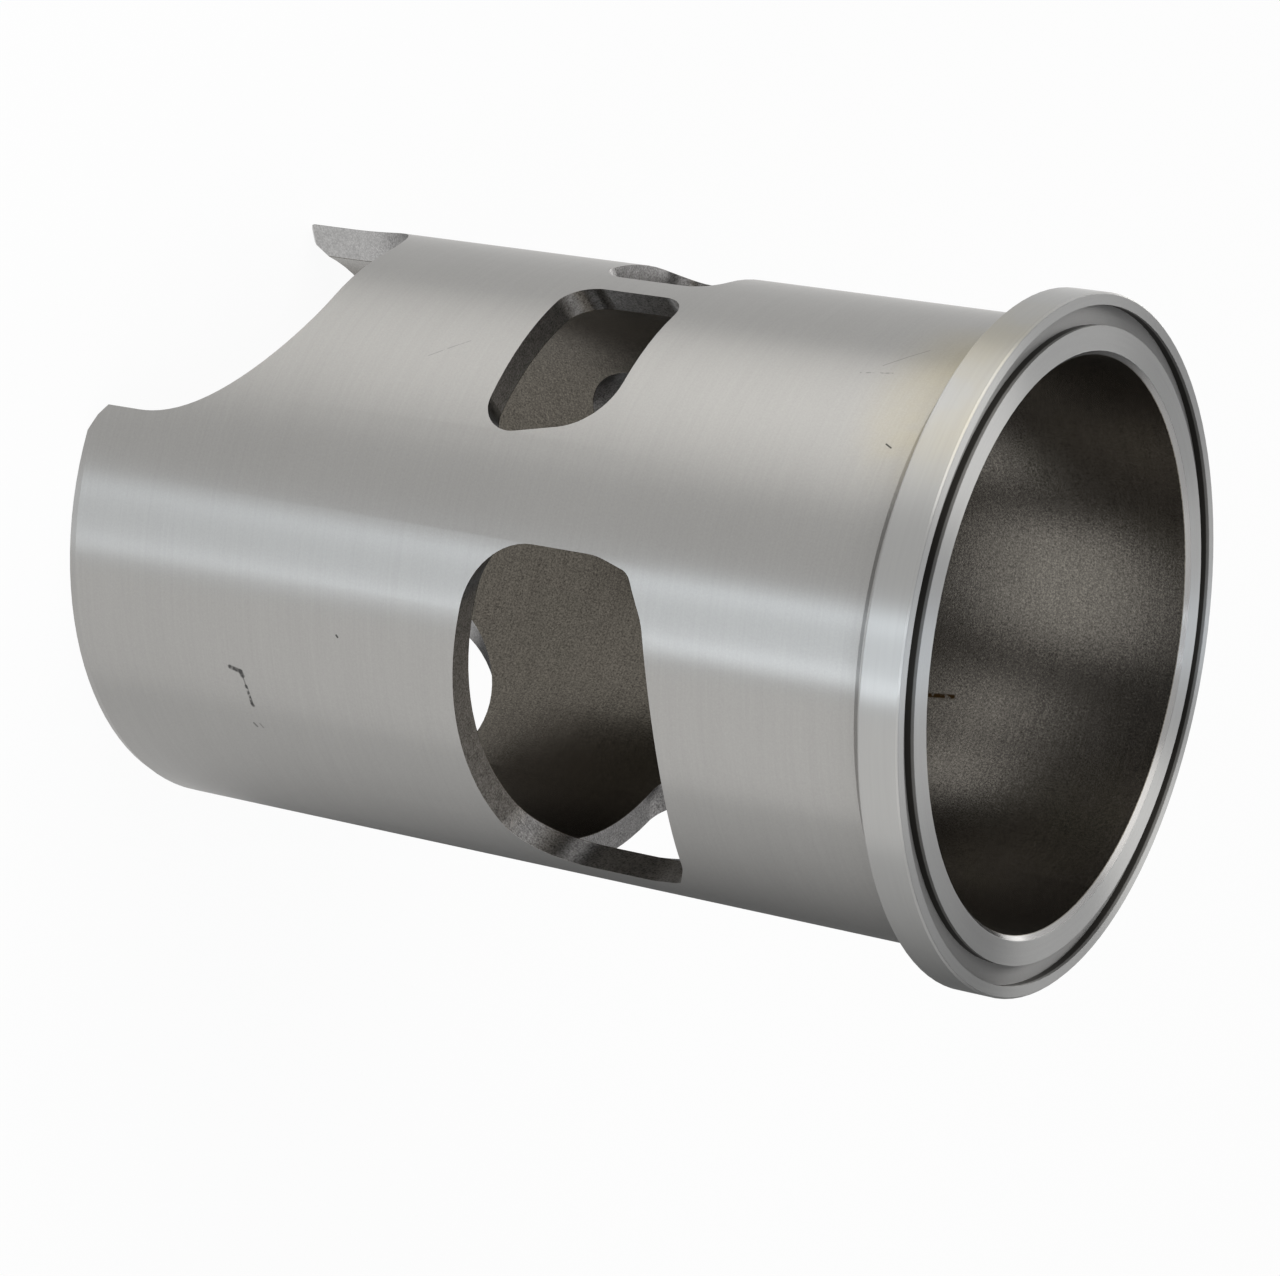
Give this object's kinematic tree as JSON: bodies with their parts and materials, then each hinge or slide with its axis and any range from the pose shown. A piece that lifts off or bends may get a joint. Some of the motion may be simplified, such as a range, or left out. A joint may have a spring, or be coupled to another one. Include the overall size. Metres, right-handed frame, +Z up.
{
  "type": "cylinder liner",
  "caption": "Ported cylinder liner of a two-stroke engine, with a grooved head flange, an arched exhaust port, side transfer ports, a rear boost hole and crank notches in its skirt.",
  "frame": {"origin": "on the bore axis, in the plane of the skirt's end that it stands on", "axes": "+Z up the bore axis to the head flange, -Y out through the exhaust port, +Y out through the boost hole"},
  "size_m": [0.0984, 0.0984, 0.1398],
  "materials": {
    "cast_iron": "fine-turned outside, honed and oiled in the bore, rough-milled in the ports"
  },
  "bodies": {
    "root": {"liner": "cast_iron"}
  },
  "joints": []
}
